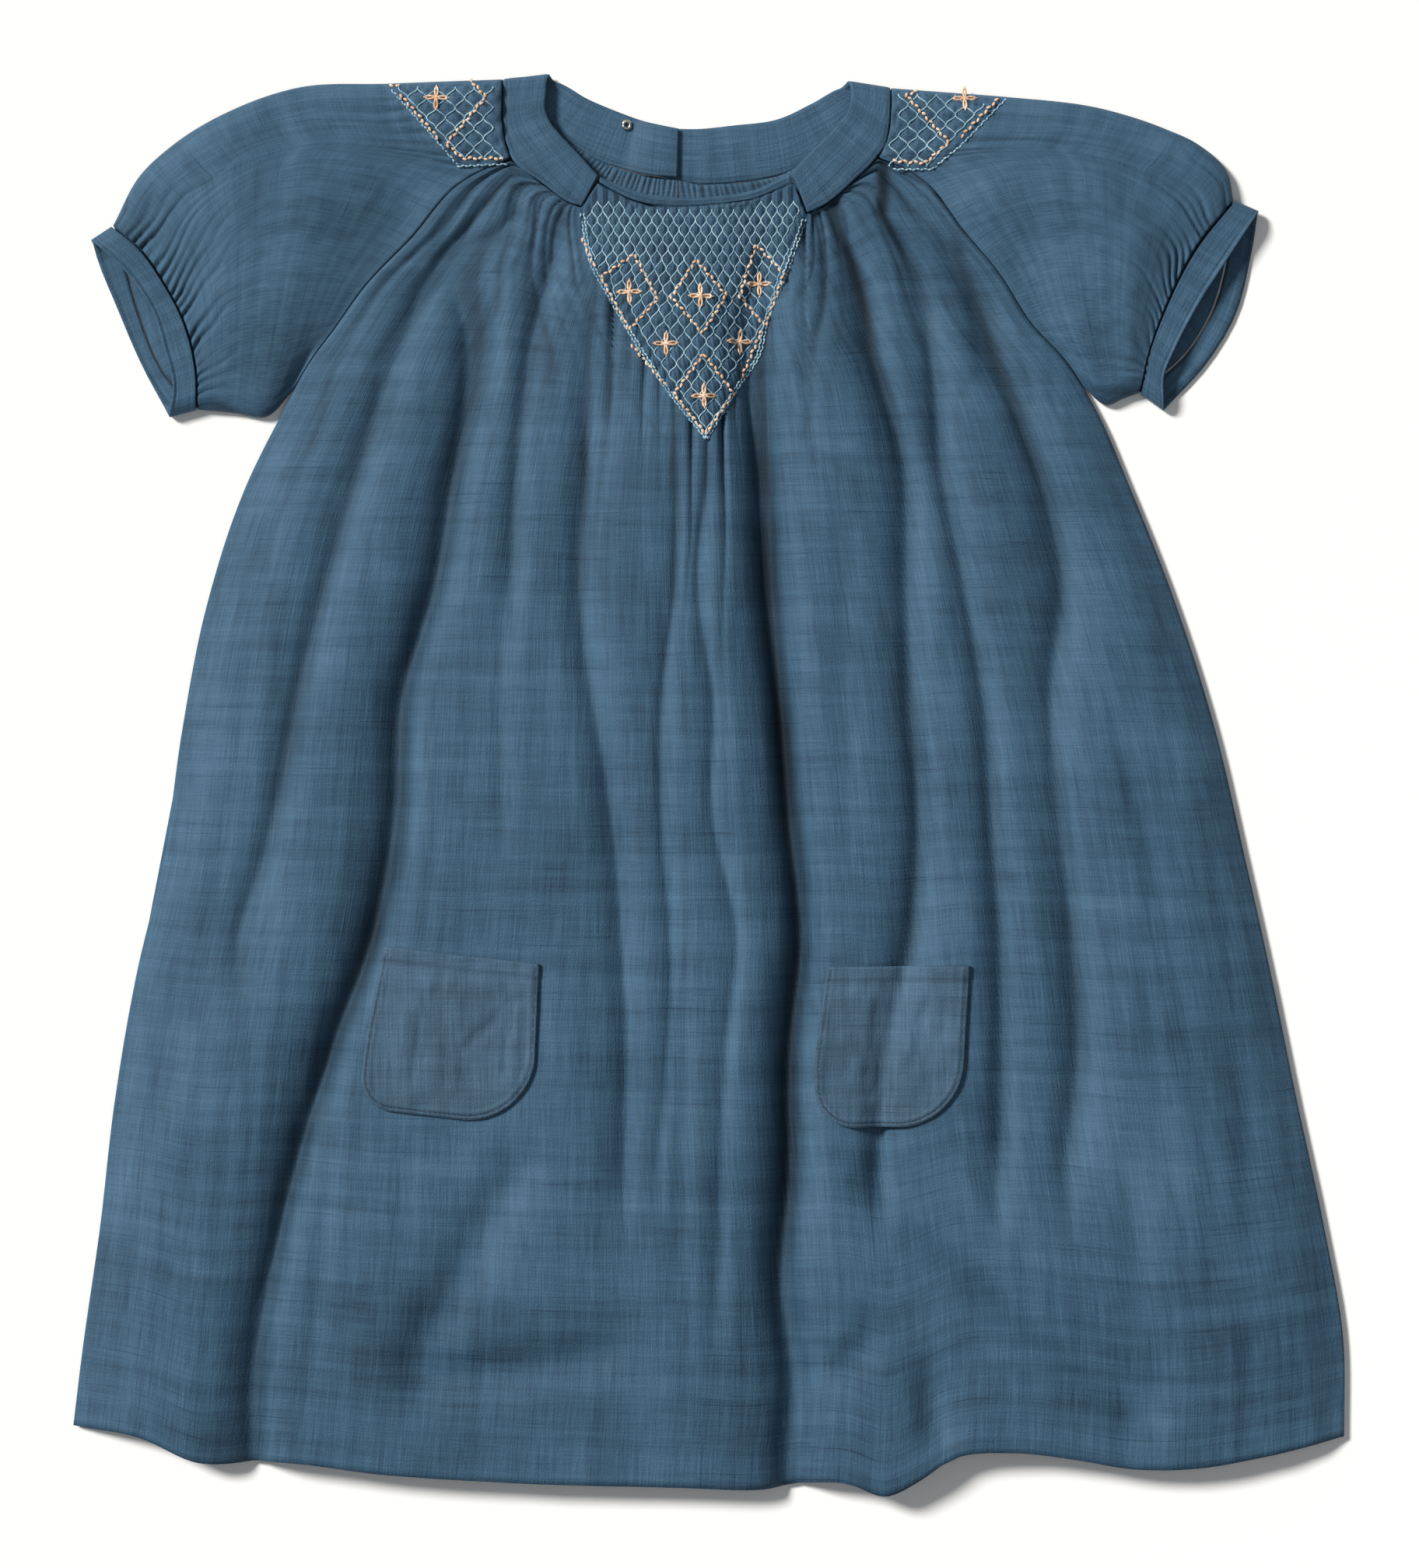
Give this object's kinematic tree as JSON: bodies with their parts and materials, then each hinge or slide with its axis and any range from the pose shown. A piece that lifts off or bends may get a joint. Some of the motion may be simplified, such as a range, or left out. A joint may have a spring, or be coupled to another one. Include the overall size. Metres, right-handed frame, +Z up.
{
  "type": "child's smocked dress, laid flat",
  "caption": "Child's short-sleeved dress laid flat, with raglan puff sleeves, a smocked V under the round neck, smocked shoulders and two patch pockets.",
  "frame": {"origin": "middle of the dress's outline, on the surface it lies on", "axes": "+Y towards the neck, +X to the viewer's right seen from above, +Z up from the surface"},
  "size_m": [0.5732, 0.6393, 0.0213],
  "materials": {
    "dress_silk": "slubby plain-woven silk, soft sheen",
    "band_silk": "doubled slubby silk, pressed flat",
    "pocket_silk": "slubby silk, slightly greyer",
    "stud_metal": "nickel-plated press stud"
  },
  "bodies": {
    "root": {"front": "dress_silk", "back": "dress_silk", "sleeve_left": "dress_silk", "sleeve_right": "dress_silk", "cuff_left": "band_silk", "cuff_right": "band_silk", "neckband_left": "band_silk", "neckband_right": "band_silk", "front_binding": "band_silk", "pocket_left": "pocket_silk", "pocket_right": "pocket_silk", "press_stud": "stud_metal"}
  },
  "joints": []
}
